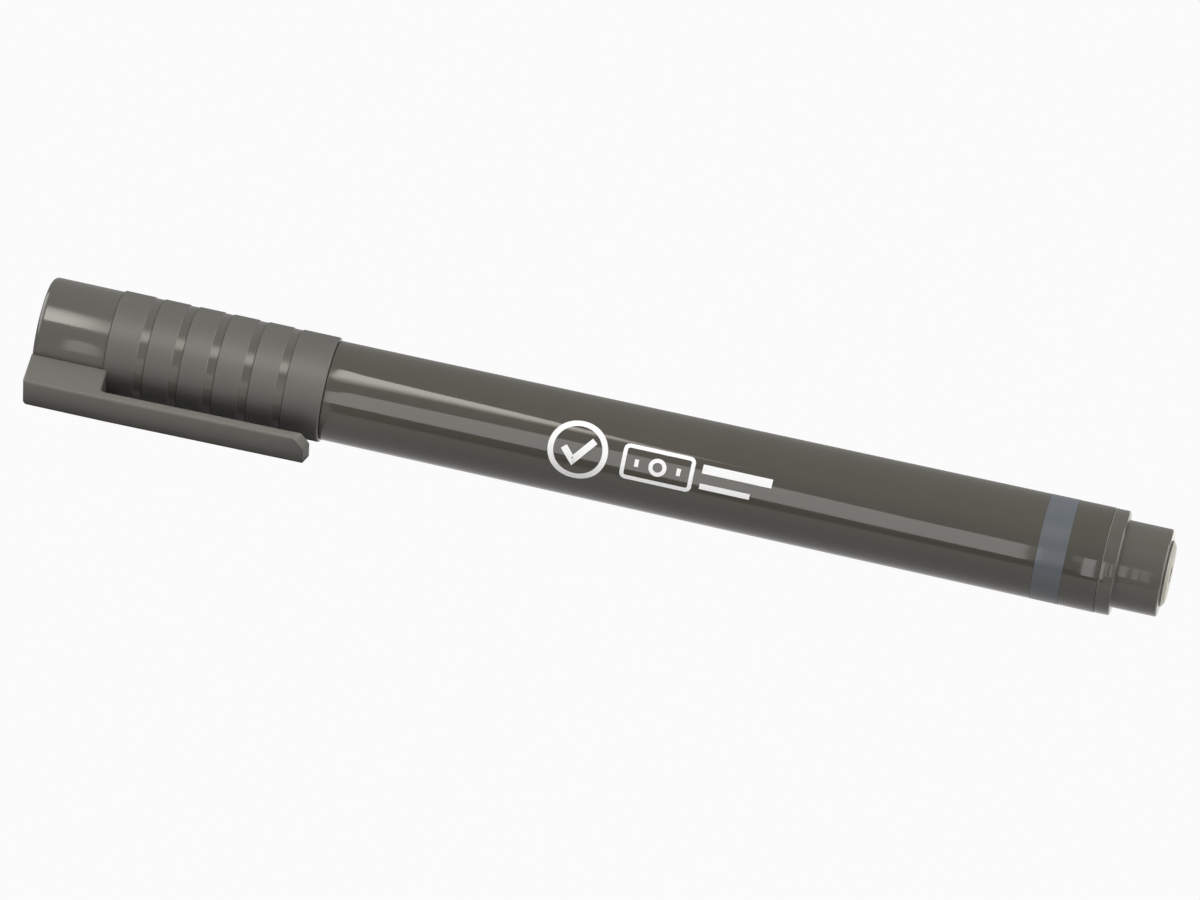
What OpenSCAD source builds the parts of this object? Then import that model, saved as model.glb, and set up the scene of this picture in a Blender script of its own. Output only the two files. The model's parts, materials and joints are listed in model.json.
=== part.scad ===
// Felt-tip marker for checking banknotes, with its cap on. It lies on its side, steadied by the pocket clip.
// Millimetres. +X runs from the closed end of the cap to the tail and +Z is up. The origin is the middle of
// the footprint, on the surface that the pen lies on. Inside the modules x counts from the closed cap end,
// along the pen's axis, and the clip points to -Z: lying() turns and places the finished shape.

/* [Pen] */
// Overall length, closed cap end to tail end
pen_length = 140.5; // [130:0.5:150]
// Outer radius of the barrel beside the cap
barrel_front_r = 6.15; // [6.05:0.05:6.25]
// Outer radius of the barrel at its tail
barrel_tail_r = 6.5; // [6.3:0.05:6.5]
// Radius of the barrel's bore around the reservoir
barrel_bore_r = 5.1; // [5:0.05:5.2]
// Rounding of the barrel's edge beside the cap
shoulder_round = 0.3; // [0.1:0.1:0.7]
// Radius of the neck that the cap slides on
neck_r = 5.4; // [5.3:0.02:5.46]

/* [Cap] */
// Length of the cap
cap_length = 36; // [35:0.5:38]
// Radius of the smooth closed end
cap_r = 6.32; // [6.2:0.02:6.4]
// How far the grip rings stand out from the closed end
ring_height = 0.18; // [0.12:0.02:0.3]
// Length of the smooth closed end
plain_end = 9; // [8:0.5:10]
// Width of the first grip ring
first_ring_w = 3.8; // [2.5:0.1:4]
// Distance from one groove to the next
groove_pitch = 4.34; // [3.9:0.02:4.4]
// Width of a groove
groove_w = 1.16; // [0.8:0.02:1.6]
// Depth of a groove
groove_depth = 0.1; // [0.05:0.01:0.12]
// Number of grooves
groove_count = 5; // [3:1:5]
// Rounding of the closed end
cap_round = 0.8; // [0.4:0.1:1]
// Thickness of the closed end
cap_end_wall = 1.4; // [1:0.1:1.6]
// Radius of the bore over the neck
cap_bore_r = 5.5; // [5.48:0.01:5.52]

/* [Pocket clip] */
// Width of the clip
clip_w = 4.7; // [4:0.1:5.2]
// Thickness of the clip's arm
clip_t = 1.2; // [1:0.05:1.4]
// Distance from the pen's axis to the clip's outer face
clip_reach = 10.4; // [10:0.1:11]
// Where the clip's arm leaves its root block
clip_root = 9.5; // [8.5:0.1:9.8]
// Where the clip's tip ends
clip_tip = 35.6; // [33:0.1:35.8]
// Lean of the arm towards the barrel, in degrees
clip_lean = 0.7; // [0:0.1:1.2]
// Bevel along the clip's outer edges
clip_bevel = 0.2; // [0.1:0.05:0.3]
// How much further the tip's inner edge reaches than its outer edge
tip_slope = 0.5; // [0.2:0.1:0.8]
// How far back the tip's upper corner is cut off
tip_cut_l = 1.4; // [0.3:0.1:2]
// How far across the tip the cut reaches
tip_cut_w = 2; // [0.5:0.1:3]

/* [Nib and reservoir] */
// Radius of the fibre nib
nib_r = 1.9; // [1.5:0.1:2]
// How far the nib's point lies inside the closed cap end
nib_point = 7.4; // [7.2:0.1:8]
// Radius of the fibre reservoir
reservoir_r = 4.7; // [4.5:0.05:4.8]
// Thickness of the film around the reservoir
film_t = 0.1; // [0.05:0.01:0.12]

/* [Tail plug] */
// Radius of the plug's collar
collar_r = 6.45; // [6.2:0.05:6.45]
// Width of the collar
collar_w = 1.9; // [1.5:0.1:2.5]
// Radius of the stub that the cap posts on
stub_r = 5.4; // [5.3:0.05:5.45]
// Length of the stub, without its raised disc
stub_l = 5.6; // [4.5:0.1:7]
// Radius of the raised disc on the stub's end
disc_r = 4.1; // [3:0.1:4.4]
// Height of the raised disc
disc_h = 0.6; // [0.4:0.1:0.8]
// Radius of the hole in the middle of the disc
gate_r = 0.95; // [0.6:0.05:1.2]

/* [Colour band] */
// Distance from the band to the tail plug's collar
band_gap = 4.4; // [3:0.1:6]
// Width of the band
band_w = 3.5; // [2:0.1:5]
// Depth of the band in the barrel
band_t = 0.12; // [0.1:0.01:0.3]

/* [Hidden] */
$fn = 96;

// Places along the axis
ring_r = cap_r + ring_height;
last_ring_x = plain_end + first_ring_w + groove_pitch * (groove_count - 1) + groove_w;
collar_x = pen_length - disc_h - stub_l - collar_w;
stub_x = collar_x + collar_w;
band_x = collar_x - band_gap - band_w;
mouth_gap = 0.1;
shoulder_x = cap_length + mouth_gap;
neck_x = 22;
snap_x = cap_length - 4.5;
nose_x = 11.6;
seat_x = 37.5;
reservoir_x = 38;
nib_back_x = reservoir_x + 8;
plug_spigot_l = 10;
reservoir_end = collar_x - plug_spigot_l - 0.2;
hinge_x = clip_root + 1.1;

// Fits, as radial clearances
press_gap = 0.02;
nib_gap = 0.02;
snap_gap = 0.02;
liner_gap = 0.05;

// Cap interior, and the nose and neck inside it
liner_r = 4.5;
liner_wall = 0.8;
liner_bore_r = liner_r - liner_wall;
liner_mouth_x = 18.4;
mouth_bevel = 0.4;
neck_bore_r = 4.25;
flange_r = 5.2;
flange_t = 1.4;
nose_tip_r = nib_r + 0.5;
nose_cone_l = 4;
vent_r = 0.4;
snap_depth = 0.2;
snap_half_w = 0.4;

// Nib
point_r = 0.9;
nib_cone_l = 3.2;

// Tail plug
plug_wall = 1.1;
plug_floor = 0.6;
collar_round = 0.25;
stub_round = 0.3;
disc_crown = 0.1;
disc_top_r = disc_r - 0.7;
dimple = 0.3;
gate_depth = 2.5;

// Lying pose: the smallest turn at which the clip's lower outer edge comes down to the rings' own level
edge_reach = clip_reach - clip_bevel;
clip_turn = atan2(clip_w / 2, edge_reach) + acos(ring_r / norm([clip_w / 2, edge_reach]));
front_reach = sin(clip_turn) * clip_reach + cos(clip_turn) * (clip_w / 2 - clip_bevel);
axis_y = (front_reach - ring_r) / 2;
axis_z = ring_r;

// Radius of the barrel's tapered outside at x, past its rounded shoulder
function barrel_r(x) =
    let(start = shoulder_x + shoulder_round)
    barrel_front_r + (barrel_tail_r - barrel_front_r) * (x - start) / (collar_x - start);

// Puts a shape made along the pen's axis where it lies
module lying() {
    translate([-pen_length / 2, axis_y, axis_z]) rotate([-clip_turn, 0, 0]) children();
}

// Turns a half profile, drawn as [radius, x], about the pen's axis
module turned() {
    rotate([0, 90, 0]) rotate_extrude() children();
}

// A plain round bar from x1 to x2
module bar(r, x1, x2) {
    translate([x1, 0, 0]) rotate([0, 90, 0]) cylinder(r = r, h = x2 - x1);
}

// What rounding the corner at [r, x] of a profile takes away; side is 1 at the tail end, -1 at the cap end
module corner_waste(r, x, rounding, side) {
    translate([r - rounding, x - side * rounding]) difference() {
        translate([0, side > 0 ? 0 : -rounding - 0.5]) square(rounding + 0.5);
        circle(rounding);
    }
}

module barrel() color([0.37, 0.36, 0.33]) lying() difference() {
    union() {
        turned() {
            polygon([
                [0, shoulder_x], [barrel_front_r - shoulder_round, shoulder_x],
                [barrel_front_r, shoulder_x + shoulder_round], [barrel_r(collar_x), collar_x], [0, collar_x]
            ]);
            translate([barrel_front_r - shoulder_round, shoulder_x + shoulder_round]) circle(shoulder_round);
        }
        bar(neck_r, neck_x, shoulder_x + shoulder_round);
    }
    bar(neck_bore_r, neck_x - 1, seat_x + 1);
    bar(barrel_bore_r, seat_x, collar_x + 1);
    snap_profile(neck_r - snap_depth, neck_r + 1);
    turned() band_profile();
}

// Ring about the snap's place, snap_half_w to each side at r_in and flaring at 45 degrees to r_out
module snap_profile(r_in, r_out) {
    reach = snap_half_w + r_out - r_in;
    turned() polygon([
        [r_in, snap_x - snap_half_w], [r_out, snap_x - reach],
        [r_out, snap_x + reach], [r_in, snap_x + snap_half_w]
    ]);
}

// Section of the printed band, which lies in the barrel's surface and follows its taper
module band_profile() {
    polygon([
        [barrel_r(band_x) - band_t, band_x], [barrel_r(band_x), band_x],
        [barrel_r(band_x + band_w), band_x + band_w], [barrel_r(band_x + band_w) - band_t, band_x + band_w]
    ]);
}

module colour_band() color([0.35, 0.39, 0.43]) lying() turned() band_profile();

// Nose that holds the nib, with a flange against the neck and a spigot pressed into it. Four grooves along
// the spigot let air past.
module front_section() color([0.37, 0.36, 0.33]) lying() difference() {
    union() {
        turned() polygon([
            [0, nose_x], [nose_tip_r, nose_x], [liner_bore_r - liner_gap, nose_x + nose_cone_l],
            [liner_bore_r - liner_gap, neck_x - flange_t], [0, neck_x - flange_t]
        ]);
        bar(flange_r, neck_x - flange_t, neck_x);
        bar(neck_bore_r - press_gap, neck_x, seat_x);
    }
    bar(nib_r + nib_gap, nose_x - 1, seat_x + 1);
    for (a = [0:90:270]) rotate([a, 0, 0]) translate([0, 0, neck_bore_r])
        bar(vent_r, neck_x - flange_t - 1, seat_x + 1);
}

// Fibre nib with a rounded point; its back end is pushed into the reservoir
module nib() color([0.93, 0.9, 0.8]) lying() turned() intersection() {
    union() {
        polygon([
            [0, nib_point + point_r], [point_r * 0.8, nib_point + point_r * 0.4],
            [nib_r, nib_point + nib_cone_l], [nib_r, nib_back_x], [0, nib_back_x]
        ]);
        translate([0, nib_point + point_r]) circle(point_r);
    }
    square([nib_r, pen_length]);
}

module ink_reservoir() color([0.9, 0.86, 0.72]) lying() difference() {
    bar(reservoir_r, reservoir_x, reservoir_end);
    bar(nib_r + nib_gap, reservoir_x - 1, nib_back_x + 0.2);
}

module reservoir_wrap() color([0.95, 0.95, 0.93]) lying() difference() {
    bar(reservoir_r + press_gap + film_t, reservoir_x, reservoir_end);
    bar(reservoir_r + press_gap, reservoir_x - 1, reservoir_end + 1);
}

// Plug that closes the barrel: a hollow spigot inside, a collar in line with the barrel, and a stub
module tail_plug() color([0.37, 0.36, 0.33]) lying() difference() {
    union() {
        bar(barrel_bore_r - press_gap, collar_x - plug_spigot_l, collar_x);
        turned() difference() {
            square_from(0, collar_x, collar_r, collar_w);
            corner_waste(collar_r, stub_x, collar_round, 1);
        }
        turned() difference() {
            square_from(0, stub_x, stub_r, stub_l);
            corner_waste(stub_r, stub_x + stub_l, stub_round, 1);
        }
        turned() polygon([
            [0, stub_x], [disc_r, stub_x], [disc_r, pen_length - disc_crown],
            [disc_top_r, pen_length], [gate_r + dimple, pen_length], [0, pen_length - dimple - gate_r]
        ]);
    }
    bar(barrel_bore_r - plug_wall, collar_x - plug_spigot_l - 1, collar_x + plug_floor);
    bar(gate_r, pen_length - gate_depth, pen_length + 1);
}

// Rectangle of a profile, from radius r0 and place x0
module square_from(r0, x0, width, length) {
    translate([r0, x0]) square([width, length]);
}

module cap_shell() color([0.44, 0.43, 0.4]) lying() difference() {
    union() {
        turned() difference() {
            square_from(0, 0, cap_r, cap_length);
            corner_waste(cap_r, 0, cap_round, -1);
        }
        grip_rings();
        clip_root_block();
    }
    difference() {
        bar(cap_bore_r, liner_mouth_x - 1, cap_length + 1);
        snap_profile(neck_r + snap_gap, cap_bore_r + 1);
    }
    bar(liner_r + press_gap, cap_end_wall, liner_mouth_x);
    turned() polygon([
        [cap_bore_r - 1, cap_length - mouth_bevel - 1], [cap_bore_r - 1, cap_length + 1],
        [cap_bore_r + mouth_bevel + 1, cap_length + 1]
    ]);
}

// Grip rings, standing out from a slightly lower floor
module grip_rings() {
    bar(ring_r - groove_depth, plain_end, cap_length);
    bar(ring_r, plain_end, plain_end + first_ring_w);
    for (i = [1:groove_count - 1]) {
        x = plain_end + first_ring_w + groove_pitch * (i - 1) + groove_w;
        bar(ring_r, x, x + groove_pitch - groove_w);
    }
    bar(ring_r, last_ring_x, cap_length);
}

// Cross-section of the clip and its root, from radius in to radius out, with the two outer edges bevelled
module clip_section(r_in, r_out) {
    polygon([
        [-clip_w / 2, -r_in], [-clip_w / 2, clip_bevel - r_out], [clip_bevel - clip_w / 2, -r_out],
        [clip_w / 2 - clip_bevel, -r_out], [clip_w / 2, clip_bevel - r_out], [clip_w / 2, -r_in]
    ]);
}

// Extrudes a cross-section, drawn as [y, z], along the axis from x1 to x2
module along_axis(x1, x2) {
    translate([x1, 0, 0]) rotate([90, 0, 90]) linear_extrude(x2 - x1) children();
}

// Extrudes a side view, drawn as [x, z], across the clip's width
module across_clip() {
    rotate([90, 0, 0]) linear_extrude(clip_w + 1, center = true) children();
}

// Block on the cap that the clip grows out of, with the first millimetre of the arm. Its end is rounded and
// flush with the cap's, and a fillet leads into the arm.
module clip_root_block() {
    fillet = 0.5;
    end_rounding = 0.6;
    intersection() {
        along_axis(0, hinge_x) clip_section(cap_bore_r + 0.3, clip_reach);
        across_clip() union() {
            difference() {
                translate([0, -clip_reach]) square([clip_root, clip_reach]);
                difference() {
                    translate([-1, -clip_reach - 1]) square([end_rounding + 1, end_rounding + 1]);
                    translate([end_rounding, end_rounding - clip_reach]) circle(end_rounding);
                }
            }
            translate([0, -clip_reach]) square([hinge_x, clip_t]);
            difference() {
                translate([clip_root - 1, clip_t - clip_reach - 0.1]) square([1 + fillet, fillet + 0.1]);
                translate([clip_root + fillet, clip_t - clip_reach + fillet]) circle(fillet);
            }
        }
    }
}

// Springy arm of the clip, leaning towards the barrel, with a sloping end whose upper corner is cut off
module pocket_clip() color([0.44, 0.43, 0.4]) lying() intersection() {
    length = clip_tip - hinge_x;
    translate([hinge_x, 0, -clip_reach]) rotate([0, -clip_lean, 0]) intersection() {
        translate([0, 0, clip_reach]) along_axis(-1, length) clip_section(clip_reach - clip_t, clip_reach);
        across_clip() polygon([[-1, 0], [length - tip_slope, 0], [length, clip_t], [-1, clip_t]]);
        linear_extrude(clip_t) tip_outline(length);
    }
    translate([hinge_x, -clip_w, -2 * clip_reach]) cube([length + 1, 2 * clip_w, 2 * clip_reach]);
}

// The clip's arm seen from outside; -y is the side that is uppermost as the pen lies
module tip_outline(length) {
    polygon([
        [-1, -clip_w / 2], [length - tip_cut_l, -clip_w / 2], [length, tip_cut_w - clip_w / 2],
        [length, clip_w / 2], [-1, clip_w / 2]
    ]);
}

// Soft liner pushed into the cap, which seals round the nose so that the ink doesn't dry
module inner_cap() color([0.75, 0.74, 0.7]) lying() difference() {
    bar(liner_r, cap_end_wall, liner_mouth_x - 0.2);
    bar(liner_bore_r, cap_end_wall + liner_wall, liner_mouth_x);
}

barrel();
front_section();
nib();
ink_reservoir();
reservoir_wrap();
tail_plug();
colour_band();
cap_shell();
inner_cap();
pocket_clip();
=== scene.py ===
"""Looks of the banknote-checking pen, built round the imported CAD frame."""

import json
import math

import bmesh
import bpy
from mathutils import Matrix, Vector


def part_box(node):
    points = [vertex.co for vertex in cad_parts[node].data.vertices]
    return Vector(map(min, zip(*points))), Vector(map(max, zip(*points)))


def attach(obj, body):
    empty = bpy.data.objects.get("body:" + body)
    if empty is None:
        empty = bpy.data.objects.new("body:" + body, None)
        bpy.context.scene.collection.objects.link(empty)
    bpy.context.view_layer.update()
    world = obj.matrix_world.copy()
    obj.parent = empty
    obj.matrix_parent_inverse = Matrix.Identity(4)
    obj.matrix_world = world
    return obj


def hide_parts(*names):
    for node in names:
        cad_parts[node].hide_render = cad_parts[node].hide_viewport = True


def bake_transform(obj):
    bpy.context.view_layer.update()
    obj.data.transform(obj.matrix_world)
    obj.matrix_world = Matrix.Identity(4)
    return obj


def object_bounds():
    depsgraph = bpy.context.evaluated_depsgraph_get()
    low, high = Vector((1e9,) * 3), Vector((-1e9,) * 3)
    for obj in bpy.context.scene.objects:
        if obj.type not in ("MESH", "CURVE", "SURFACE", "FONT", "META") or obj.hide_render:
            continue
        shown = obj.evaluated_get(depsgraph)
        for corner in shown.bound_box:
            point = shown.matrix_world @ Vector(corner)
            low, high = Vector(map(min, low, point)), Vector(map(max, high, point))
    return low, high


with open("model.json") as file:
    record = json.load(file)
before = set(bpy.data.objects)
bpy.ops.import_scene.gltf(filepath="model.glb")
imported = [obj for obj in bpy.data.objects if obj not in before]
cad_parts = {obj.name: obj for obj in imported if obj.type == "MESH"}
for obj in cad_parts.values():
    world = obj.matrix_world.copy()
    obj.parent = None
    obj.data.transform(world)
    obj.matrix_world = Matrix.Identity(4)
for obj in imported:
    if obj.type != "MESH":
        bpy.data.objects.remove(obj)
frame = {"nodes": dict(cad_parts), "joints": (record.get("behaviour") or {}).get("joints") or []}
cad_low, cad_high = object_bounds()

# ---------------------------------------------------------------- places, from the frame
# Pen coordinates are millimetres: x from the closed end of the cap along the axis, the clip pointing to -z.
MM = 0.001
JOINTS = {joint["name"]: joint for joint in frame["joints"]}


def middle(box):
    return (box[0] + box[1]) / 2


def span_mm(node):
    """Where a node starts and ends along the pen, in millimetres from the closed end."""
    low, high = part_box(node)
    return (low.x - cad_low.x) / MM, (high.x - cad_low.x) / MM


AXIS = middle(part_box("barrel"))
_, CLIP_AXIS_Y, CLIP_AXIS_Z = JOINTS["clip_flex"]["axis"]
CLIP_TURN = math.atan2(-CLIP_AXIS_Z, CLIP_AXIS_Y)
LYING = (
    Matrix.Translation((cad_low.x, AXIS.y, AXIS.z))
    @ Matrix.Rotation(-CLIP_TURN, 4, "X")
    @ Matrix.Scale(MM, 4)
)
PEN_LENGTH = (cad_high.x - cad_low.x) / MM
CAP_END = span_mm("cap_shell")[1]
NECK_START, COLLAR = span_mm("barrel")
BAND_START, BAND_END = span_mm("colour_band")
CLIP_TIP = span_mm("pocket_clip")[1]
HINGE = span_mm("pocket_clip")[0]
LINER_START, LINER_END = span_mm("inner_cap")
NOSE_START, SEAT = span_mm("front_section")
NIB_POINT, NIB_BACK = span_mm("nib")
RING_R = AXIS.z / MM
TAIL_R = (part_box("barrel")[1].z - AXIS.z) / MM

# ---------------------------------------------------------------- visible shapes, in millimetres and radians
# Barrel, its neck, and the nose and nib in it. The shoulder is where the polished tube starts.
SHOULDER = CAP_END + 0.04
FRONT_R = 6.15
NECK_R = 5.4
NECK_BORE_R = 4.25
NOSE_R = 3.65
FLANGE_R = 5.2
VENT_R = 0.4
VENT_L = 6.0
NIB_R = (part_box("nib")[1].z - AXIS.z) / MM
BARREL_BORE_R = 5.1
SNAP = CAP_END - 4.5

# Cap: a polished closed end, then matte rings with polished grooves between them.
CAP_R = RING_R - 0.18
GROOVE_R = RING_R - 0.1
CAP_BORE_R = 5.5
LINER_R = 4.5
PLAIN_END = 9.0
FIRST_RING = 3.8
GROOVE_PITCH = 4.34
GROOVE_W = 1.16
GROOVES = 5
NOTCH = 0.16
DIMPLE_R = 1.1
DIMPLE_DEPTH = 0.25

# Pocket clip. Its tip is cut at a slant on the side that shows.
CLIP_W = 4.7
CLIP_T = 1.2
CLIP_REACH = 10.4
CLIP_ROOT = HINGE - 1.1
CLIP_LEAN = math.radians(0.7)
CLIP_EDGE = 0.34
TIP_SLOPE = 0.5
TIP_CUT_L = 1.3
TIP_CUT_W = 2.0
TIP_CUT_POWER = 1.25

# Tail plug: a collar, a stub, and a raised disc with a gate recess.
COLLAR_R = 6.45
STUB = COLLAR + 1.9
STUB_R = 5.4
STUB_END = PEN_LENGTH - 0.6
DISC_R = 4.1
DISC_EDGE = PEN_LENGTH - 0.38
GATE_R = 0.95

# Prints.
BAND_T = 0.12
MARK_START = 64.0
MARK_TURN = math.radians(-47)
MARK_T = 0.012

# Meshes: clearances between pieces that touch, and how finely round shapes are divided.
FIT_GAP = 0.02
FACE_GAP = 0.01
TURNS = 160
ROUNDING_STEPS = 5
SHARP = math.radians(32)


def barrel_radius(x):
    return FRONT_R + (TAIL_R - FRONT_R) * (x - SHOULDER) / (COLLAR - SHOULDER)


# ---------------------------------------------------------------- mesh helpers
def add_object(name, mesh, body=None):
    obj = bpy.data.objects.new(name, mesh)
    bpy.context.scene.collection.objects.link(obj)
    if body:
        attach(obj, body)
    return obj


def rounded(corners):
    """A half profile from (x, radius, rounding) corners, each rounded by an arc."""
    points = []
    count = len(corners)
    for i, (x, r, rounding) in enumerate(corners):
        here = Vector((x, r))
        if rounding <= 0 or i in (0, count - 1):
            points.append(here)
            continue
        back = Vector(corners[i - 1][:2]) - here
        ahead = Vector(corners[i + 1][:2]) - here
        half = back.angle(ahead) / 2
        room = 0.49 * min(back.length, ahead.length)
        trim = min(rounding / math.tan(half), room)
        radius = trim * math.tan(half)
        centre = here + (back.normalized() + ahead.normalized()).normalized() * (radius / math.sin(half))
        start = here + back.normalized() * trim - centre
        sweep = start.angle_signed(here + ahead.normalized() * trim - centre)
        for k in range(ROUNDING_STEPS + 1):
            turn = Matrix.Rotation(-sweep * k / ROUNDING_STEPS, 2)
            points.append(centre + turn @ start)
    return points


def lathe(name, corners, body, closed=True):
    """Turns a half profile about the pen's axis. A closed profile is a ring; an open one ends on the axis."""
    bm = bmesh.new()
    rings = []
    for point in rounded(corners):
        if point.y < 1e-6:
            rings.append([bm.verts.new((point.x, 0, 0))])
            continue
        rings.append([
            bm.verts.new((point.x, point.y * math.sin(a), -point.y * math.cos(a)))
            for a in (2 * math.pi * k / TURNS for k in range(TURNS))
        ])
    pairs = list(zip(rings, rings[1:]))
    if closed:
        pairs.append((rings[-1], rings[0]))
    for a, b in pairs:
        for k in range(TURNS):
            n = (k + 1) % TURNS
            face = [a[k % len(a)], a[n % len(a)], b[n % len(b)], b[k % len(b)]]
            unique = list(dict.fromkeys(face))
            if len(unique) > 2:
                bm.faces.new(unique)
    return finished(name, bm, body)


def finished(name, bm, body=None):
    """Makes an object of a mesh drawn in pen coordinates, puts it where it lies and evens out its normals."""
    bmesh.ops.recalc_face_normals(bm, faces=bm.faces)
    bm.transform(LYING)
    for face in bm.faces:
        face.smooth = True
    for edge in bm.edges:
        edge.smooth = edge.calc_face_angle(0) < SHARP
    mesh = bpy.data.meshes.new(name)
    bm.to_mesh(mesh)
    bm.free()
    obj = add_object(name, mesh, body)
    even = obj.modifiers.new("even_normals", "WEIGHTED_NORMAL")
    even.keep_sharp = True
    even.weight = 80
    return obj


# ---------------------------------------------------------------- materials
def new_material(name):
    material = bpy.data.materials.new(name)
    material.use_nodes = True
    nodes = material.node_tree.nodes
    return material, nodes, material.node_tree.links, nodes["Principled BSDF"]


def noise(nodes, links, scale, detail, stretch=(1, 1, 1)):
    """Noise in the pen's own space; scale is features per metre."""
    place = nodes.new("ShaderNodeTexCoord")
    mapping = nodes.new("ShaderNodeMapping")
    mapping.inputs["Scale"].default_value = stretch
    texture = nodes.new("ShaderNodeTexNoise")
    texture.inputs["Scale"].default_value = scale
    texture.inputs["Detail"].default_value = detail
    links.new(place.outputs["Object"], mapping.inputs["Vector"])
    links.new(mapping.outputs["Vector"], texture.inputs["Vector"])
    return texture.outputs["Fac"]


def ramp(nodes, links, source, low, high, value_low, value_high):
    spread = nodes.new("ShaderNodeMapRange")
    spread.inputs["From Min"].default_value = low
    spread.inputs["From Max"].default_value = high
    spread.inputs["To Min"].default_value = value_low
    spread.inputs["To Max"].default_value = value_high
    links.new(source, spread.inputs["Value"])
    return spread.outputs["Result"]


def tinted(nodes, links, source, color, amount):
    """The colour, a little darker and lighter as the source goes from 0 to 1."""
    mix = nodes.new("ShaderNodeMix")
    mix.data_type = "RGBA"
    mix.inputs["A"].default_value = [c * (1 - amount) for c in color] + [1]
    mix.inputs["B"].default_value = [c * (1 + amount) for c in color] + [1]
    links.new(source, mix.inputs["Factor"])
    return mix.outputs["Result"]


def bump(nodes, links, source, distance, strength, shader, under=None):
    node = nodes.new("ShaderNodeBump")
    node.inputs["Distance"].default_value = distance
    node.inputs["Strength"].default_value = strength
    links.new(source, node.inputs["Height"])
    if under:
        links.new(under, node.inputs["Normal"])
    links.new(node.outputs["Normal"], shader.inputs["Normal"])
    return node.outputs["Normal"]


def polished_plastic(name, color, roughness):
    """Plastic from a polished mould: a faint waviness, handling marks in its gloss, and fine specks."""
    material, nodes, links, shader = new_material(name)
    cloud = noise(nodes, links, 90, 2)
    shade = tinted(nodes, links, ramp(nodes, links, cloud, 0.3, 0.7, 0, 1), color, 0.03)
    links.new(shade, shader.inputs["Base Color"])
    marks = noise(nodes, links, 700, 6, (0.15, 1, 1))
    links.new(ramp(nodes, links, marks, 0.35, 0.75, roughness, roughness + 0.06), shader.inputs["Roughness"])
    shader.inputs["IOR"].default_value = 1.5
    waves = bump(nodes, links, noise(nodes, links, 45, 1, (0.5, 1, 1)), 0.00004, 0.35, shader)
    bump(nodes, links, noise(nodes, links, 3500, 2), 0.000003, 0.15, shader, waves)
    return material


def textured_plastic(name, color, roughness):
    """Moulded plastic from a spark-eroded mould: an even, very fine grain."""
    material, nodes, links, shader = new_material(name)
    cloud = noise(nodes, links, 120, 3)
    shade = tinted(nodes, links, ramp(nodes, links, cloud, 0.3, 0.7, 0, 1), color, 0.035)
    links.new(shade, shader.inputs["Base Color"])
    grain = noise(nodes, links, 7000, 3)
    gloss = ramp(nodes, links, grain, 0.3, 0.7, roughness - 0.04, roughness + 0.06)
    links.new(gloss, shader.inputs["Roughness"])
    shader.inputs["IOR"].default_value = 1.5
    bump(nodes, links, grain, 0.00002, 0.35, shader)
    return material


def fibre(name, color, scale):
    """Bonded or bundled fibre running along the pen."""
    material, nodes, links, shader = new_material(name)
    strands = noise(nodes, links, scale, 5, (0.08, 1, 1))
    links.new(tinted(nodes, links, strands, color, 0.25), shader.inputs["Base Color"])
    shader.inputs["Roughness"].default_value = 0.9
    shader.inputs["Sheen Weight"].default_value = 0.3
    bump(nodes, links, strands, 0.0001, 0.6, shader)
    return material


def printed(name, color, roughness, speckle):
    """Pad or screen print: nearly even ink with tiny thin spots."""
    material, nodes, links, shader = new_material(name)
    spots = noise(nodes, links, 4000, 4)
    shade = tinted(nodes, links, ramp(nodes, links, spots, 0.2, 0.8, 0, 1), color, speckle)
    links.new(shade, shader.inputs["Base Color"])
    shader.inputs["Roughness"].default_value = roughness
    bump(nodes, links, spots, 0.000004, 0.3, shader)
    return material


def film(name, color):
    """Thin, half clear film with fine wrinkles along it."""
    material, nodes, links, shader = new_material(name)
    wrinkles = noise(nodes, links, 600, 4, (0.3, 1, 1))
    links.new(tinted(nodes, links, wrinkles, color, 0.05), shader.inputs["Base Color"])
    shader.inputs["Roughness"].default_value = 0.2
    shader.inputs["Alpha"].default_value = 0.5
    bump(nodes, links, wrinkles, 0.00005, 0.4, shader)
    return material


BARREL_COLOR = (0.070, 0.065, 0.053)
# Painted light: the clip's plastic is lighter than the rings' to make up for the shade it gets in the corner
# by the cap.
CLIP_LIGHTENED_COLOR = (0.098, 0.093, 0.082)
CAP_GLOSS_COLOR = (0.090, 0.085, 0.074)
PLUG_COLOR = (0.088, 0.083, 0.070)
RING_COLOR = (0.080, 0.076, 0.067)
# Painted reflection: the tail disc's pale colour stands in for bright light reflected off it at a grazing
# angle.
DISC_REFLECTION_COLOR = (0.36, 0.35, 0.30)
# Painted highlight: the collar's rounded seam edge is coloured lighter for the light line it catches.
COLLAR_HIGHLIGHT_COLOR = (0.19, 0.18, 0.15)
BAND_COLOR = (0.090, 0.100, 0.112)

BARREL_PLASTIC = polished_plastic("barrel_gloss", BARREL_COLOR, 0.045)
CAP_GLOSS = polished_plastic("cap_gloss", CAP_GLOSS_COLOR, 0.11)
PLUG_PLASTIC = polished_plastic("plug_gloss", PLUG_COLOR, 0.06)
DISC_PAINTED_REFLECTION = textured_plastic("disc_face_painted_reflection", DISC_REFLECTION_COLOR, 0.4)
COLLAR_HIGHLIGHT_PLASTIC = textured_plastic("collar_edge_painted_highlight", COLLAR_HIGHLIGHT_COLOR, 0.4)
CAP_TEXTURE = textured_plastic("cap_texture", RING_COLOR, 0.5)
CLIP_TEXTURE = textured_plastic("clip_texture", CLIP_LIGHTENED_COLOR, 0.5)
BAND_PRINT = printed("band_ink", BAND_COLOR, 0.3, 0.04)
MARK_PRINT = printed("mark_ink", (0.82, 0.82, 0.81), 0.4, 0.03)
LINER_PLASTIC = textured_plastic("liner_polyethylene", (0.55, 0.54, 0.50), 0.45)
NIB_FIBRE = fibre("nib_fibre", (0.62, 0.50, 0.30), 9000)
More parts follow.
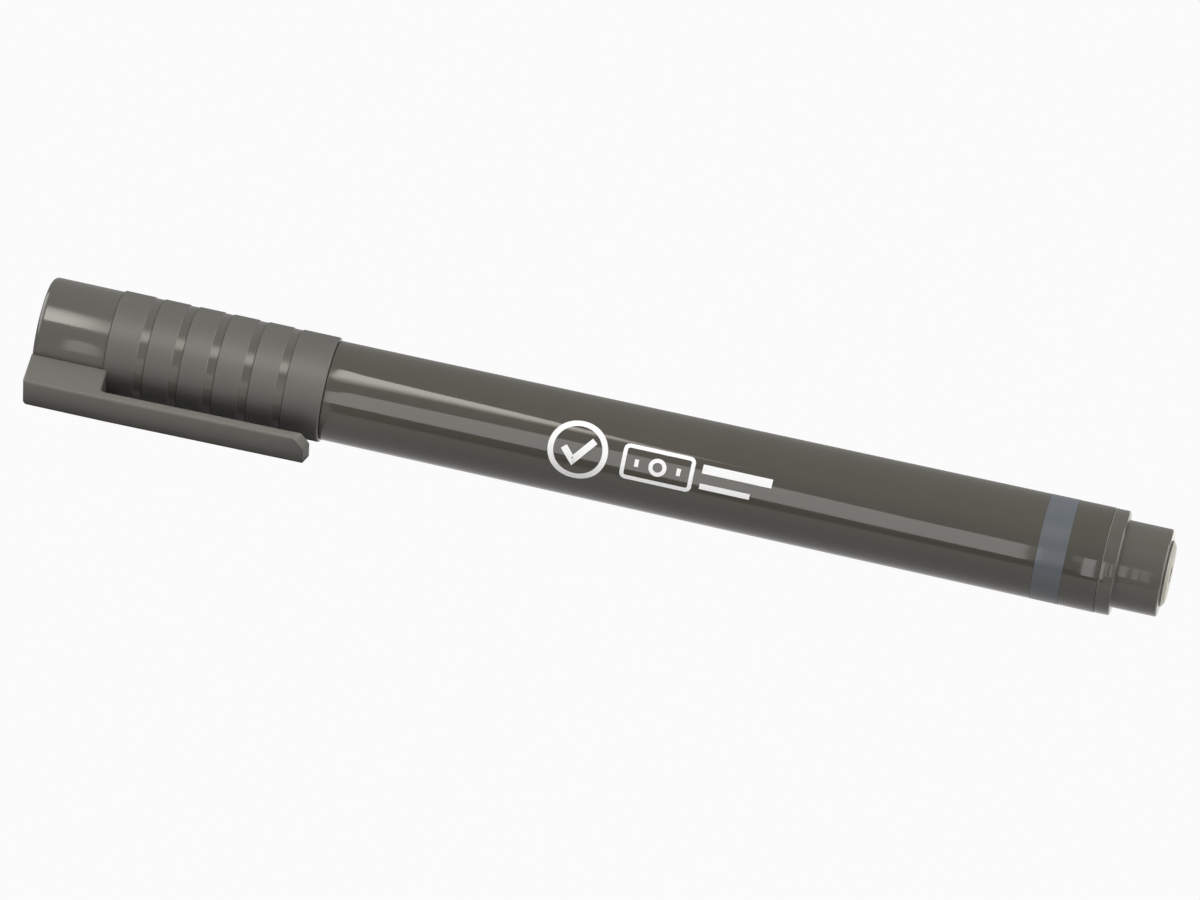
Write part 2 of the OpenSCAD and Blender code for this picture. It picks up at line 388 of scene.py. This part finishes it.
RESERVOIR_FIBRE = fibre("reservoir_fibre", (0.70, 0.58, 0.36), 5000)
CLEAR_FILM = film("clear_film", (0.85, 0.85, 0.82))


def paint(obj, *materials):
    obj.data.materials.clear()
    for material in materials:
        obj.data.materials.append(material)


# ---------------------------------------------------------------- the pen's pieces
def in_axis_mm(point):
    """How far a point lies along the pen and out from its axis, in millimetres."""
    return (point.x - cad_low.x) / MM, math.hypot(point.y - AXIS.y, point.z - AXIS.z) / MM


def ring_foot(x, floor):
    """The step up to a grip ring: a fine notch at its foot and a small rounding on its edge."""
    return [(x - NOTCH, floor, 0.02), (x - NOTCH / 2, floor - NOTCH / 2, 0.02), (x, RING_R, 0.1)]


def make_cap():
    """Cap without its clip: smooth closed end, matte grip rings, and a bore for the liner and the neck."""
    corners = [
        (DIMPLE_DEPTH, 0, 0), (DIMPLE_DEPTH, DIMPLE_R, 0.1), (0, DIMPLE_R + 0.4, 0.15), (0, CAP_R, 0.7),
    ]
    floor = CAP_R
    edges = [(PLAIN_END, PLAIN_END + FIRST_RING)]
    for i in range(GROOVES - 1):
        start = PLAIN_END + FIRST_RING + GROOVE_PITCH * i + GROOVE_W
        edges.append((start, start + GROOVE_PITCH - GROOVE_W))
    for start, end in edges:
        corners += ring_foot(start, floor) + [(end - 0.12, RING_R, 0.15), (end, GROOVE_R, 0.05)]
        floor = GROOVE_R
    last = PLAIN_END + FIRST_RING + GROOVE_PITCH * (GROOVES - 1) + GROOVE_W
    corners += ring_foot(last, floor) + [
        (CAP_END, RING_R, 0.28),
        (CAP_END, CAP_BORE_R + 0.4, 0.1), (CAP_END - 0.4, CAP_BORE_R, 0.05),
        (LINER_END + 0.2, CAP_BORE_R, 0.1), (LINER_END + 0.2, LINER_R + FIT_GAP, 0.05),
        (LINER_START, LINER_R + FIT_GAP, 0.1), (LINER_START, 0, 0),
    ]
    cap = lathe("cap_body", corners, "cap", closed=False)
    paint(cap, CAP_GLOSS, CAP_TEXTURE)
    for face in cap.data.polygons:
        x, r = in_axis_mm(face.center)
        on_ring = r > GROOVE_R + 0.01 and x > PLAIN_END - 0.01
        face.material_index = 1 if on_ring else 0
    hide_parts("cap_shell")


def edge_inset(w, half, radius):
    """How far a rounded edge draws in at w across a piece half wide."""
    over = max(0.0, abs(w) - (half - radius))
    return radius - math.sqrt(max(0.0, radius * radius - over * over))


def inset(outline, amount):
    """A closed outline of (x, z), drawn counter-clockwise, moved inwards by the amount."""
    moved = []
    count = len(outline)
    for i, (x, z) in enumerate(outline):
        back, ahead = outline[i - 1], outline[(i + 1) % count]
        normals = []
        for (x1, z1), (x2, z2) in ((back, (x, z)), ((x, z), ahead)):
            length = math.hypot(x2 - x1, z2 - z1)
            normals.append(Vector((-(z2 - z1) / length, (x2 - x1) / length)))
        bisector = (normals[0] + normals[1]).normalized()
        reach = amount / max(0.5, bisector.dot(normals[0]))
        moved.append((x + bisector.x * reach, z + bisector.y * reach))
    return moved


def arc(centre, radius, start, end, steps=6):
    """Points of an arc, in degrees from +x towards +z."""
    return [
        (centre[0] + radius * math.cos(math.radians(a)), centre[1] + radius * math.sin(math.radians(a)))
        for a in (start + (end - start) * k / steps for k in range(steps + 1))
    ]


def make_clip():
    """Root block and arm of the clip as one moulding, in one fixed shape; the real arm bends where it leaves
    the block.
    """
    outer, inner = -CLIP_REACH, -CLIP_REACH + CLIP_T
    hidden = -(CAP_R + CAP_BORE_R) / 2
    fillet, end_round = 0.5, 0.6

    def leaning(x, z):
        return x, z + (x - HINGE) * math.tan(CLIP_LEAN)

    flex = [HINGE + (CLIP_TIP - HINGE) * k / 16 for k in range(15)]
    heel = [(0, hidden)] + arc((end_round, outer + end_round), end_round, 180, 270)
    lower = [leaning(x, outer) for x in flex]
    tip = [leaning(CLIP_TIP - TIP_SLOPE, outer), leaning(CLIP_TIP, inner)]
    upper = [leaning(x, inner) for x in reversed(flex)]
    root = arc((CLIP_ROOT + fillet, inner + fillet), fillet, 270, 180) + [(CLIP_ROOT, hidden)]
    outline = heel + lower + tip + upper + root
    tip_first = len(heel) + len(lower)
    half = CLIP_W / 2
    rows = [half * math.sin(math.radians(a)) for a in range(-90, 91, 5)]
    bm = bmesh.new()
    rings = []
    for w in rows:
        cut = max(0.0, 1 - (w + half) / TIP_CUT_W)
        draw_in = TIP_CUT_L * cut ** TIP_CUT_POWER
        shrunk = inset(outline, edge_inset(w, half, CLIP_EDGE))
        ring = []
        for i, (x, z) in enumerate(shrunk):
            if tip_first <= i < tip_first + len(tip):
                x -= draw_in
            ring.append(bm.verts.new((x, w, z)))
        rings.append(ring)
    count = len(outline)
    for a, b in zip(rings, rings[1:]):
        for i in range(count):
            n = (i + 1) % count
            bm.faces.new((a[i], a[n], b[n], b[i]))
    bm.faces.new(rings[0])
    bm.faces.new(rings[-1][::-1])
    clip = finished("clip_moulding", bm)
    paint(clip, CLIP_TEXTURE)
    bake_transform(clip)
    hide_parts("pocket_clip")


def make_barrel():
    """Polished tube with the neck that the cap slides on, and a shallow seat for the printed band."""
    seat = BAND_T + 0.005
    corners = [
        (SHOULDER, NECK_R, 0.05), (SHOULDER, FRONT_R, 0.12),
        (BAND_START, barrel_radius(BAND_START), 0.02), (BAND_START, barrel_radius(BAND_START) - seat, 0.01),
        (BAND_END, barrel_radius(BAND_END) - seat, 0.01), (BAND_END, barrel_radius(BAND_END), 0.02),
        (COLLAR - FACE_GAP, barrel_radius(COLLAR), 0.03), (COLLAR - FACE_GAP, BARREL_BORE_R, 0.05),
        (SEAT, BARREL_BORE_R, 0.1), (SEAT, NECK_BORE_R, 0.05), (NECK_START, NECK_BORE_R, 0.1),
        (NECK_START, NECK_R, 0.3),
    ]
    for along, depth in ((-0.7, 0), (-0.4, 0.2), (0.4, 0.2), (0.7, 0)):
        corners.append((SNAP + along, NECK_R - depth, 0.1))
    # The profile starts and ends on the plain neck, where its seam doesn't show.
    seam = corners[-1][0] + 0.4
    corners = [(seam + 0.1, NECK_R, 0)] + corners + [(seam, NECK_R, 0)]
    barrel = lathe("barrel_tube", corners, "pen")
    paint(barrel, BARREL_PLASTIC)
    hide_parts("barrel")


def make_front_section():
    """Nose that holds the nib, with its flange, its press fit in the neck and four air vents."""
    flange = NECK_START - 1.4
    corners = [
        (NOSE_START, NIB_R + FIT_GAP, 0.05), (NOSE_START, NIB_R + 0.5, 0.15), (NOSE_START + 4, NOSE_R, 0.6),
        (flange, NOSE_R, 0.05), (flange, FLANGE_R, 0.12), (NECK_START - FACE_GAP, FLANGE_R, 0.08),
        (NECK_START - FACE_GAP, NECK_BORE_R - FIT_GAP, 0), (SEAT, NECK_BORE_R - FIT_GAP, 0.2),
        (SEAT, NIB_R + FIT_GAP, 0.05),
    ]
    section = lathe("nose_moulding", corners, "pen")
    paint(section, BARREL_PLASTIC)
    bm = bmesh.new()
    for turn in range(4):
        place = Matrix.Translation((flange + 1, 0, NECK_BORE_R))
        side = Matrix.Rotation(turn * math.pi / 2, 4, "X") @ place
        along = Matrix.Rotation(math.pi / 2, 4, "Y")
        bmesh.ops.create_cone(
            bm, cap_ends=True, segments=24, radius1=VENT_R, radius2=VENT_R, depth=VENT_L, matrix=side @ along,
        )
    vents = finished("vents", bm)
    cut = section.modifiers.new("vents", "BOOLEAN")
    cut.operation, cut.object, cut.solver = "DIFFERENCE", vents, "EXACT"
    section.modifiers.move(1, 0)
    evaluated = section.evaluated_get(bpy.context.evaluated_depsgraph_get())
    settled = bpy.data.meshes.new_from_object(evaluated)
    section.modifiers.clear()
    section.data = settled
    bpy.data.objects.remove(vents)
    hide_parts("front_section")


def make_nib():
    """Bullet-shaped fibre nib, with a blunt point and a shank in the nose."""
    corners = [
        (NIB_POINT, 0, 0), (NIB_POINT, 0.5, 0.4), (NIB_POINT + 3.2, NIB_R, 0.8),
        (NIB_BACK, NIB_R, 0), (NIB_BACK, 0, 0),
    ]
    nib = lathe("nib_fibre_point", corners, "pen", closed=False)
    paint(nib, NIB_FIBRE)
    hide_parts("nib")


def make_band():
    """Printed colour band, in its shallow seat on the barrel."""
    gap = 0.015
    start, end = BAND_START + gap, BAND_END - gap
    corners = [
        (start + 1, barrel_radius(start + 1), 0), (end, barrel_radius(end), 0.02),
        (end, barrel_radius(end) - BAND_T, 0.01), (start, barrel_radius(start) - BAND_T, 0.01),
        (start, barrel_radius(start), 0.02), (start + 0.9, barrel_radius(start + 0.9), 0),
    ]
    band = lathe("printed_band", corners, "pen")
    paint(band, BAND_PRINT)
    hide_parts("colour_band")


def make_tail_plug():
    """Collar, stub and raised disc, with the spigot that holds the plug in the barrel."""
    spigot = span_mm("tail_plug")[0]
    corners = [
        (COLLAR + 0.6, 0, 0), (COLLAR + 0.6, BARREL_BORE_R - 1.1, 0.1), (spigot, BARREL_BORE_R - 1.1, 0.1),
        (spigot, BARREL_BORE_R - FIT_GAP, 0.2), (COLLAR + FACE_GAP, BARREL_BORE_R - FIT_GAP, 0.02),
        (COLLAR + FACE_GAP, COLLAR_R, 0.12), (STUB, COLLAR_R, 0.25), (STUB, STUB_R, 0.08),
        (STUB_END, STUB_R, 0.28), (STUB_END, DISC_R, 0.05), (DISC_EDGE, DISC_R, 0.04),
        (PEN_LENGTH, DISC_R - 0.6, 0.3), (PEN_LENGTH, GATE_R + 0.2, 0.05), (PEN_LENGTH - 0.3, GATE_R, 0.1),
        (PEN_LENGTH - 2.5, GATE_R, 0.2), (PEN_LENGTH - 2.5, 0, 0),
    ]
    plug = lathe("tail_plug_moulding", corners, "pen", closed=False)
    paint(plug, PLUG_PLASTIC, DISC_PAINTED_REFLECTION, COLLAR_HIGHLIGHT_PLASTIC)
    for face in plug.data.polygons:
        x, r = in_axis_mm(face.center)
        # The disc face takes the painted reflection.
        on_disc_reflection = x > DISC_EDGE + 0.02 and r > GATE_R + 0.15
        # The collar's seam edge takes the painted highlight.
        on_collar_highlight = x < COLLAR + 0.13 and r > COLLAR_R - 0.15
        if on_disc_reflection:
            face.material_index = 1
        elif on_collar_highlight:
            face.material_index = 2
    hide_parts("tail_plug")


def circle(x, v, radius, steps=48):
    """Points of a circle in the print's own plane: x along the pen, v up the print."""
    turns = [2 * math.pi * k / steps for k in range(steps)]
    return [(x + radius * math.cos(a), v + radius * math.sin(a)) for a in turns]


def box_outline(x0, x1, v0, v1, radius):
    """Points of a rectangle with round corners."""
    points = []
    left, right, under, over = x0 + radius, x1 - radius, v0 + radius, v1 - radius
    for cx, cv, first in ((right, over, 0), (left, over, 90), (left, under, 180), (right, under, 270)):
        points += arc((cx, cv), radius, first, first + 90, ROUNDING_STEPS)
    return points


def print_line(bm, path, width, closed=False):
    """A printed line of even width along a path, laid on the barrel as a very thin solid."""
    widest, longest = 0.3, 0.35
    across = max(2, round(width / widest))
    points = [Vector(point) for point in path]
    ends = points + points[:1] if closed else points
    dense = []
    for here, ahead in zip(ends, ends[1:]):
        parts = max(1, math.ceil((ahead - here).length / longest))
        dense += [here.lerp(ahead, k / parts) for k in range(parts)]
    if not closed:
        dense.append(ends[-1])
    layers = {MARK_T: [], -MARK_T: []}
    count = len(dense)
    for i, point in enumerate(dense):
        back = point - dense[i - 1] if closed or i else dense[1] - point
        ahead = dense[(i + 1) % count] - point if closed or i < count - 1 else back
        middle_way = (back.normalized() + ahead.normalized()).normalized()
        side = Vector((-middle_way.y, middle_way.x)) / max(0.4, middle_way.dot(ahead.normalized()))
        for lift, rows in layers.items():
            row = []
            for k in range(across + 1):
                x, v = point + side * width * (k / across - 0.5)
                radius = barrel_radius(x) + lift
                turn = MARK_TURN - v / barrel_radius(x)
                row.append(bm.verts.new((x, radius * math.sin(turn), -radius * math.cos(turn))))
            rows.append(row)
    top, bottom = layers[MARK_T], layers[-MARK_T]
    for i in range(count if closed else count - 1):
        n = (i + 1) % count
        for k in range(across):
            bm.faces.new((top[i][k], top[i][k + 1], top[n][k + 1], top[n][k]))
            bm.faces.new((bottom[i][k], bottom[n][k], bottom[n][k + 1], bottom[i][k + 1]))
        for k in (0, across):
            bm.faces.new((top[i][k], top[n][k], bottom[n][k], bottom[i][k]))
    if not closed:
        for i in (0, count - 1):
            for k in range(across):
                bm.faces.new((top[i][k], top[i][k + 1], bottom[i][k + 1], bottom[i][k]))


def make_mark():
    """White print in a generic design: a tick in a ring, a banknote and two plain lines."""
    bm = bmesh.new()
    ring_r = 3.7
    ring_x = MARK_START + ring_r
    print_line(bm, circle(ring_x, 0, ring_r - 0.35), 0.7, closed=True)
    print_line(bm, [(ring_x - 1.75, 0.15), (ring_x - 0.45, -1.35), (ring_x + 1.85, 1.5)], 0.85)
    note_x, note_w, note_h = ring_x + ring_r + 2.0, 8.4, 3.9
    note_mid = note_x + note_w / 2
    print_line(bm, box_outline(note_x, note_x + note_w, -note_h / 2, note_h / 2, 0.5), 0.5, closed=True)
    print_line(bm, circle(note_mid, 0, 0.85, 32), 0.5, closed=True)
    for side in (-1, 1):
        print_line(bm, [(note_mid + side * 2.6, -0.45), (note_mid + side * 2.6, 0.45)], 0.5)
    lines_x = note_x + note_w + 1.2
    print_line(bm, [(lines_x, 1.05), (lines_x + 8.6, 1.05)], 1.1)
    print_line(bm, [(lines_x, -1.1), (lines_x + 6.2, -1.1)], 0.7)
    mark = finished("printed_mark", bm, "pen")
    paint(mark, MARK_PRINT)


def dress_cad_nodes():
    """Materials of the pieces whose CAD shape shows, or would show, as it is."""
    finishes = {
        "ink_reservoir": RESERVOIR_FIBRE,
        "reservoir_wrap": CLEAR_FILM,
        "inner_cap": LINER_PLASTIC,
    }
    for node, material in finishes.items():
        paint(frame["nodes"][node], material)


# ---------------------------------------------------------------- camera, floor and light
VIEW_AZIMUTH = math.radians(6.49)
VIEW_ELEVATION = math.radians(27.85)
VIEW_ROLL = math.radians(9.34)
VIEW_DISTANCE = 1.4
LENS_MM = 346.5
AIM_ALONG = 69.71
AIM_OFF = 0.07
AIM = Vector((cad_low.x + AIM_ALONG * MM, AXIS.y - AIM_OFF * MM, AXIS.z - AIM_OFF * MM))

toward_camera = Vector((
    math.sin(VIEW_AZIMUTH) * math.cos(VIEW_ELEVATION),
    -math.cos(VIEW_AZIMUTH) * math.cos(VIEW_ELEVATION),
    math.sin(VIEW_ELEVATION),
))


def make_camera():
    """Long lens, turned and rolled as in the photograph."""
    data = bpy.data.cameras.new("camera")
    data.lens = LENS_MM
    data.sensor_width = 36
    data.clip_start, data.clip_end = 0.05, 50
    camera = bpy.data.objects.new("camera", data)
    bpy.context.scene.collection.objects.link(camera)
    level = toward_camera.to_track_quat("Z", "Y").to_matrix()
    camera.matrix_world = (
        Matrix.Translation(AIM + toward_camera * VIEW_DISTANCE)
        @ (level @ Matrix.Rotation(VIEW_ROLL, 3, "Z")).to_4x4()
    )
    bpy.context.scene.camera = camera
    return camera


def make_disc(name, color, glow):
    """A round floor sheet of a grey; its own glow, if it has one, keeps the shadows on it light."""
    bm = bmesh.new()
    bmesh.ops.create_circle(bm, cap_ends=True, radius=4, segments=96)
    mesh = bpy.data.meshes.new(name)
    bm.to_mesh(mesh)
    bm.free()
    floor = add_object(name, mesh)
    material, _, _, shader = new_material(name)
    shader.inputs["Base Color"].default_value = (color, color, color, 1)
    shader.inputs["Roughness"].default_value = 0.9
    shader.inputs["Specular IOR Level"].default_value = 0
    shader.inputs["Emission Color"].default_value = (1, 1, 1, 1)
    shader.inputs["Emission Strength"].default_value = glow
    paint(floor, material)
    return floor


def make_floor():
    """Two sheets in one place: only the first is seen, and only the second throws light back on the pen."""
    seen = make_disc("floor_seen", 0.2, 0.94)
    for ray in ("diffuse", "glossy", "transmission", "shadow"):
        setattr(seen, "visible_" + ray, False)
    felt = make_disc("floor_felt", 0.3, 0)
    felt.visible_camera = False


def make_world(level):
    world = bpy.data.worlds.new("studio")
    world.use_nodes = True
    background = world.node_tree.nodes["Background"]
    background.inputs["Color"].default_value = (1, 1, 1, 1)
    background.inputs["Strength"].default_value = level
    bpy.context.scene.world = world


def mirror_point(camera, x, below, reach):
    """Where a card has to be, reach metres off, to show on the pen at x mm along it.

    The angle says how far round the pen the reflection lies, in degrees below the line to the camera.
    """
    across = Vector((0, toward_camera.y, toward_camera.z)).normalized()
    down = Vector((1, 0, 0)).cross(across)
    if down.z > 0:
        down.negate()
    angle = math.radians(below)
    normal = across * math.cos(angle) + down * math.sin(angle)
    spot = Vector((cad_low.x + x * MM, AXIS.y, AXIS.z)) + normal * RING_R * MM
    to_camera = (camera.location - spot).normalized()
    return spot + (2 * normal.dot(to_camera) * normal - to_camera) * reach


def make_card(camera, name, stations, color, strength, across, reach):
    """A glowing card seen only in reflections, drawn where it shows on the pen.

    Stations are (x along the pen, upper edge, lower edge, level), with the edges as angles: see mirror_point.
    The pairs in across are how far from the upper to the lower edge, and how bright the card is there.
    Reach is how far the card hangs from the pen, in metres: a near card is sharp and hides those behind it.
    """
    bm = bmesh.new()
    glow = bm.verts.layers.float.new("glow")
    rows = []
    for x, top, bottom, level in stations:
        row = []
        for part, share in across:
            vert = bm.verts.new(mirror_point(camera, x, top + (bottom - top) * part, reach))
            vert[glow] = level * share
            row.append(vert)
        rows.append(row)
    for a, b in zip(rows, rows[1:]):
        for k in range(len(across) - 1):
            bm.faces.new((a[k], a[k + 1], b[k + 1], b[k]))
    mesh = bpy.data.meshes.new(name)
    bm.to_mesh(mesh)
    bm.free()
    make_glow(add_object(name, mesh), color, strength, "diffuse", "glow")


def make_glow(sheet, color, strength, unseen, level_attribute=None):
    """Makes a sheet glow, except for the kind of ray named as unseen; the attribute scales its strength."""
    material = bpy.data.materials.new(sheet.name)
    material.use_nodes = True
    nodes, links = material.node_tree.nodes, material.node_tree.links
    nodes.remove(nodes["Principled BSDF"])
    emission = nodes.new("ShaderNodeEmission")
    emission.inputs["Color"].default_value = (*color, 1)
    emission.inputs["Strength"].default_value = strength
    if level_attribute:
        level = nodes.new("ShaderNodeAttribute")
        level.attribute_name = level_attribute
        scale = nodes.new("ShaderNodeMath")
        scale.operation = "MULTIPLY"
        scale.inputs[1].default_value = strength
        links.new(level.outputs["Fac"], scale.inputs[0])
        links.new(scale.outputs["Value"], emission.inputs["Strength"])
    links.new(emission.outputs["Emission"], nodes["Material Output"].inputs["Surface"])
    paint(sheet, material)
    for ray in ("camera", "transmission", "shadow", unseen):
        setattr(sheet, "visible_" + ray, False)


def make_area_light(name, place, size, power):
    """A round lamp that points at the pen and shows neither itself nor its reflection."""
    data = bpy.data.lights.new(name, "AREA")
    data.shape = "DISK"
    data.size = size
    data.energy = power
    light = bpy.data.objects.new(name, data)
    bpy.context.scene.collection.objects.link(light)
    light.location = place
    light.rotation_mode = "QUATERNION"
    light.rotation_quaternion = Vector(place).to_track_quat("Z", "Y")
    light.visible_glossy = False
    light.visible_camera = False


def make_panel(name, corners, color, strength, unseen="diffuse"):
    """A glowing panel that only shows in reflections or, unseen by glossy rays, only lights."""
    mesh = bpy.data.meshes.new(name)
    mesh.from_pydata(corners, [], [range(len(corners))])
    make_glow(add_object(name, mesh), color, strength, unseen)


def flat(x0, x1, y0, y1, z):
    """Corners of a level rectangle."""
    return [(x0, y0, z), (x1, y0, z), (x1, y1, z), (x0, y1, z)]


WARM = (1.0, 0.97, 0.89)
PLAIN = (1.0, 0.98, 0.97)

# How bright a card is from its upper to its lower edge.
EVEN = ((0, 1), (1, 1))
HUMP = ((0, 0.2), (0.4, 1), (0.7, 1), (1, 0.3))
SOFT_BELOW = ((0, 1), (0.5, 0.95), (0.75, 0.5), (1, 0.1))
SOFT_ABOVE = ((0, 0.3), (0.25, 0.75), (0.55, 1), (1, 1))

# How far the cards hang from the pen, in metres.
FAR, MIDWAY, NEAR, NEAREST = 0.05, 0.03, 0.016, 0.014


def make_window_cards(camera):
    """The warm window's streak along the barrel and its patches on the cap."""
    make_card(camera, "window", [
        (36.1, -16, -15.4, 1), (36.4, -20, -12.2, 1), (36.7, -24, -11.6, 1), (37.1, -26.4, -11, 1),
        (38.2, -25.8, -11, 1), (40.2, -24.4, -11.6, 1), (43.9, -23.6, -12.4, 1), (47.6, -22.6, -12.8, 1),
        (52.5, -21.6, -12.9, 1), (57.3, -20.8, -12.9, 1), (62.2, -19.6, -12.8, 0.95), (71.4, -17, -13, 0.8),
        (76.3, -15.6, -13, 0.6), (83, -14.6, -13.4, 0.4), (90, -14, -13.8, 0.2),
    ], WARM, 7.8, SOFT_BELOW, FAR)
    make_card(camera, "cap_window", [
        (-2, -25.5, -8.2, 1), (2.4, -24.5, -8.5, 1), (4.8, -23.5, -8.3, 0.85), (7.2, -23, -7.5, 0.6),
        (8.9, -19, -8, 0.15),
    ], WARM, 8.5, SOFT_ABOVE, FAR)
    make_card(camera, "groove_window", [(9.1, -22, -6, 0.9), (35.5, -22, -6, 1)], WARM, 4.8, HUMP, MIDWAY)


def make_wall_cards(camera):
    """The plain wall's streak along the pen, and the dark gap between it and the table."""
    make_card(camera, "hill", [
        (3.4, 13, 19.5, 0.4), (4.2, 7.5, 19.5, 1), (5.0, 6.7, 19.5, 1), (6, 6.7, 19.5, 0.95),
        (7.2, 7.5, 19.5, 0.9), (8.4, 11, 19.5, 0.5),
    ], PLAIN, 2.4, EVEN, NEAREST)
    make_card(camera, "groove_wall", [(9.1, 9, 20, 0.8), (35.5, 9, 20, 1)], PLAIN, 1.4, HUMP, MIDWAY)
    make_card(camera, "wall", [
        (36, 1.5, 14.4, 1), (37.6, 1.2, 14.4, 1), (38.2, -1.3, 14.5, 1), (52.5, -1.8, 14.7, 1),
        (62.2, -2.1, 14.6, 1), (80, -1.5, 15.6, 1), (96.4, -0.4, 16.5, 1), (108.6, 1.2, 17.5, 1),
        (122.8, 1.8, 18, 1), (123.3, 2, 17, 0.35), (126, 2, 15, 0.25), (126.3, 2, 14, 0),
    ], PLAIN, 3, EVEN, FAR)
    for name, start, end, bottom, strength in (
        ("wall_edge", 128.8, 130.1, 8.5, 1.1),
        ("wall_a", 130.15, 131.7, 21.5, 3.1),
        ("wall_b", 132.4, 133.3, 19, 1.9),
        ("wall_c", 134.6, 135.6, 19.5, 2.2),
        ("wall_d", 136.2, 137.0, 19.5, 1.8),
        ("wall_e", 137.3, 138.4, 19.5, 1.4),
    ):
        make_card(camera, name, [(start, 2.3, bottom, 1), (end, 2.3, bottom, 1)], PLAIN, strength, EVEN, NEAR)
    make_card(camera, "gap", [
        (37, 14.4, 24, 1), (62, 14.6, 24, 1), (96.4, 16.7, 24, 1), (108.6, 17.7, 24, 1),
        (129.8, 18.4, 24, 1), (130.1, 21.5, 24.5, 1), (132.3, 21.5, 24.5, 1),
    ], PLAIN, 0.06, EVEN, NEAREST)
    make_card(camera, "plug_gap", [(132.5, 17, 24, 1), (140, 17, 24, 1)], PLAIN, 0.5, EVEN, NEAREST)


def make_panels():
    """Walls at the pen's two ends, and patches of bright table round it, all in metres."""
    wall_y, wall_low, wall_high = 0.5, 0.02, 0.8
    for name, x in (("right_wall", 0.7), ("left_wall", -0.7)):
        make_panel(name, [
            (x, -wall_y, wall_low), (x, wall_y, wall_low), (x, wall_y, wall_high), (x, -wall_y, wall_high),
        ], PLAIN, 4)
    before_cap, past_tail = cad_low.x - 0.01, cad_high.x + 0.0004
    mouth = cad_low.x + 36 * MM
    make_panel("right_floor", flat(past_tail, 0.6, -0.03, 0.2, 0.0004), WARM, 1.5)
    make_panel("clip_floor", flat(before_cap, mouth, -0.07, -0.0095, 0.0003), PLAIN, 1.5, "glossy")
    make_panel("barrel_floor", flat(mouth, past_tail, -0.02, 0.04, 0.0003), PLAIN, 0.85)


def make_studio(camera):
    make_floor()
    make_world(0.42)
    make_area_light("key_light", (-0.2, -0.72, 1.5), 1.1, 21.5)
    make_area_light("back_light", (0.1, 0.9, 1.2), 1.2, 8)
    make_area_light("side_light", (1.5, -0.35, 0.5), 0.7, 6)
    make_window_cards(camera)
    make_wall_cards(camera)
    make_panels()


camera = make_camera()
make_cap()
make_clip()
make_barrel()
make_front_section()
make_nib()
make_band()
make_tail_plug()
make_mark()
dress_cad_nodes()
make_studio(camera)
bpy.context.scene.view_settings.view_transform = "Standard"
